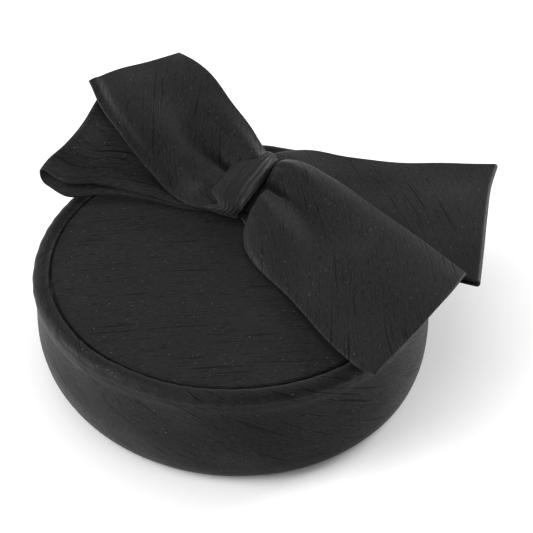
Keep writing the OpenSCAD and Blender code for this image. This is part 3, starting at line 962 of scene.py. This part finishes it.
foot_low, foot_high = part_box("foot_pad")
foot_line = rounded_section(0.1 * MM, foot_high.x, foot_low.z, foot_high.z, 0.4 * MM, 4)


def cut_edge(angle, radius, height):
    """The felt disc's edge is cut by hand and not quite round."""
    return radius + 0.15 * MM * np.sin(angle * 23 + 2 * np.sin(angle * 4)) * (radius > 0.05), height


foot_felt = closed_lathe("foot_felt", foot_line, 200, felt, cut_edge)


def cap_moves(before, after, limit):
    """Holds every point within limit metres of where it was."""
    move = after - before
    length = np.linalg.norm(move, axis=1, keepdims=True)
    return before + move * np.minimum(1.0, limit / np.maximum(length, 1e-9))


def settle(piece):
    """Applies the piece's modifiers to its mesh."""
    bpy.context.view_layer.update()
    evaluated = piece.evaluated_get(bpy.context.evaluated_depsgraph_get())
    applied = bpy.data.meshes.new_from_object(evaluated)
    piece.modifiers.clear()
    piece.data = applied
    return applied


PRESSURE = 4.0
SWELL_FRAMES = 20


def stuffed(name, node, voxel, limit, hold_below):
    """Velvet pad swelled from a CAD node's shape by cloth pressure; points under hold_below stay."""
    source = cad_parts[node]
    pad = bpy.data.objects.new(name, source.data.copy())
    scene.collection.objects.link(pad)
    pad.data.materials.clear()
    pad.data.materials.append(velvet)
    remesh = pad.modifiers.new("even", "REMESH")
    remesh.mode = "VOXEL"
    remesh.voxel_size = voxel
    remesh.use_smooth_shade = True
    baked = settle(pad)
    count = len(baked.vertices)
    before = np.zeros(count * 3)
    baked.vertices.foreach_get("co", before)
    before = before.reshape(-1, 3)
    held = pad.vertex_groups.new(name="held")
    held.add([int(i) for i in np.flatnonzero(before[:, 2] < hold_below)], 1.0, "REPLACE")
    cloth = pad.modifiers.new("swell", "CLOTH")
    cloth.settings.use_pressure = True
    cloth.settings.uniform_pressure_force = PRESSURE
    cloth.settings.vertex_group_mass = "held"
    cloth.settings.effector_weights.gravity = 0.0
    for number in range(1, SWELL_FRAMES + 1):
        scene.frame_set(number)
    evaluated = pad.evaluated_get(bpy.context.evaluated_depsgraph_get())
    swollen = bpy.data.meshes.new_from_object(evaluated)
    after = np.zeros(count * 3)
    swollen.vertices.foreach_get("co", after)
    bpy.data.meshes.remove(swollen)
    pad.modifiers.clear()
    moved = cap_moves(before, after.reshape(-1, 3), limit)
    baked.vertices.foreach_set("co", moved.ravel())
    baked.update()
    scene.frame_set(1)
    finer = pad.modifiers.new("finer", "SUBSURF")
    finer.levels = finer.render_levels = 1
    final = settle(pad)
    final.polygons.foreach_set("use_smooth", [True] * len(final.polygons))
    return pad


pad_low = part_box("outer_ring_pad")[0].z
outer_pad = stuffed("outer_ring_velvet", "outer_ring_pad", 1.8 * MM, 0.7 * MM, pad_low + 3 * MM)
channel = stuffed("channel_velvet", "channel_pad", 1.6 * MM, 0.5 * MM, pad_low + 2 * MM)
centre_pad = stuffed("centre_velvet", "centre_pad", 1.1 * MM, 0.6 * MM, pad_low + 3.5 * MM)
roll_front = stuffed("ring_roll_velvet_front", "ring_roll_front", 0.8 * MM, 0.25 * MM, pad_low)
roll_back = stuffed("ring_roll_velvet_back", "ring_roll_back", 0.8 * MM, 0.25 * MM, pad_low)


# ---------------------------------------------------------------- plain finishes on carried-over pieces

def repaint(node, material):
    """Gives a CAD node one material."""
    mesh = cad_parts[node].data
    mesh.materials.clear()
    mesh.materials.append(material)


for board in ("floor_board", "base_wall_board", "insert_card", "lid_wall_board", "lid_top_board",
              "top_panel_card", "lid_ceiling_card"):
    repaint(board, greyboard)
repaint("bow_base_patch", felt)
repaint("bow_tack_stitches", thread)


# ---------------------------------------------------------------- each piece onto its body, in place of its CAD node

def belongs(piece, body, node):
    """Puts the piece on the body it rides on and hides the CAD node it stands for."""
    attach(piece, body)
    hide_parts(node)


belongs(side_band, "lid", "side_band")
belongs(top_panel, "lid", "top_panel_cover")
belongs(side_wadding, "lid", "side_wadding")
belongs(rim_cord, "lid", "rim_filler_cord")
belongs(panel_foam, "lid", "top_panel_foam")
belongs(right_tail, "lid", "bow_tail_strip")
belongs(left_tail, "lid", "bow_tail_strip")
belongs(right_loop, "lid", "bow_loop_strip")
belongs(left_loop, "lid", "bow_loop_strip")
belongs(knot_silk, "lid", "knot_band")
belongs(lid_lining, "lid", "lid_lining_wall")
belongs(lid_ceiling, "lid", "lid_ceiling_pad")
belongs(base_cover, "base", "base_wall_cover")
belongs(base_collar, "base", "base_lining_collar")
belongs(foot_felt, "base", "foot_pad")
belongs(outer_pad, "base", "outer_ring_pad")
belongs(channel, "base", "channel_pad")
belongs(centre_pad, "base", "centre_pad")
belongs(roll_front, "base", "ring_roll_front")
belongs(roll_back, "base", "ring_roll_back")
